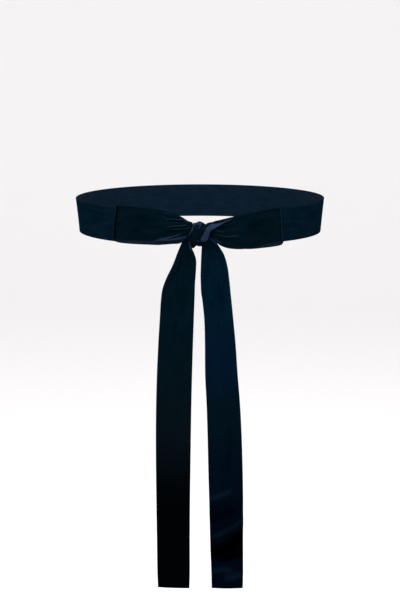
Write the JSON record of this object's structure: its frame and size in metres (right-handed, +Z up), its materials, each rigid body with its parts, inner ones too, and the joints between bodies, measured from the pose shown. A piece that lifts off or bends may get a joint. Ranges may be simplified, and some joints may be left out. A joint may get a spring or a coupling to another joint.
{
  "type": "velvet sash",
  "caption": "Deep blue-green velvet ribbon sash, worn round a waist and tied behind in a bow with long hanging tails.",
  "frame": {"origin": "centre of the waist oval, halfway up the band", "axes": "+Z up, the bow faces -Y, +X to the right of the bow as it is seen from behind the wearer"},
  "size_m": [0.2818, 0.2309, 0.4324],
  "materials": {
    "velvet_face": "deep blue-green ribbon velvet, short upright pile, soft light along the folds",
    "velvet_tail": "the same ribbon velvet where it hangs free, with the pile lying down, darker on the left tail and bluer on the right one",
    "satin_back": "the ribbon's woven satin back, smooth slate blue with a low sheen"
  },
  "bodies": {
    "root": {"waistband": "velvet_face", "half_knot": "velvet_face", "loop_left": "velvet_face", "loop_right": "velvet_face", "knot_wrap": "velvet_face", "crossing_fold": "satin_back", "tail_left": "velvet_tail", "tail_right": "velvet_tail"}
  },
  "joints": []
}
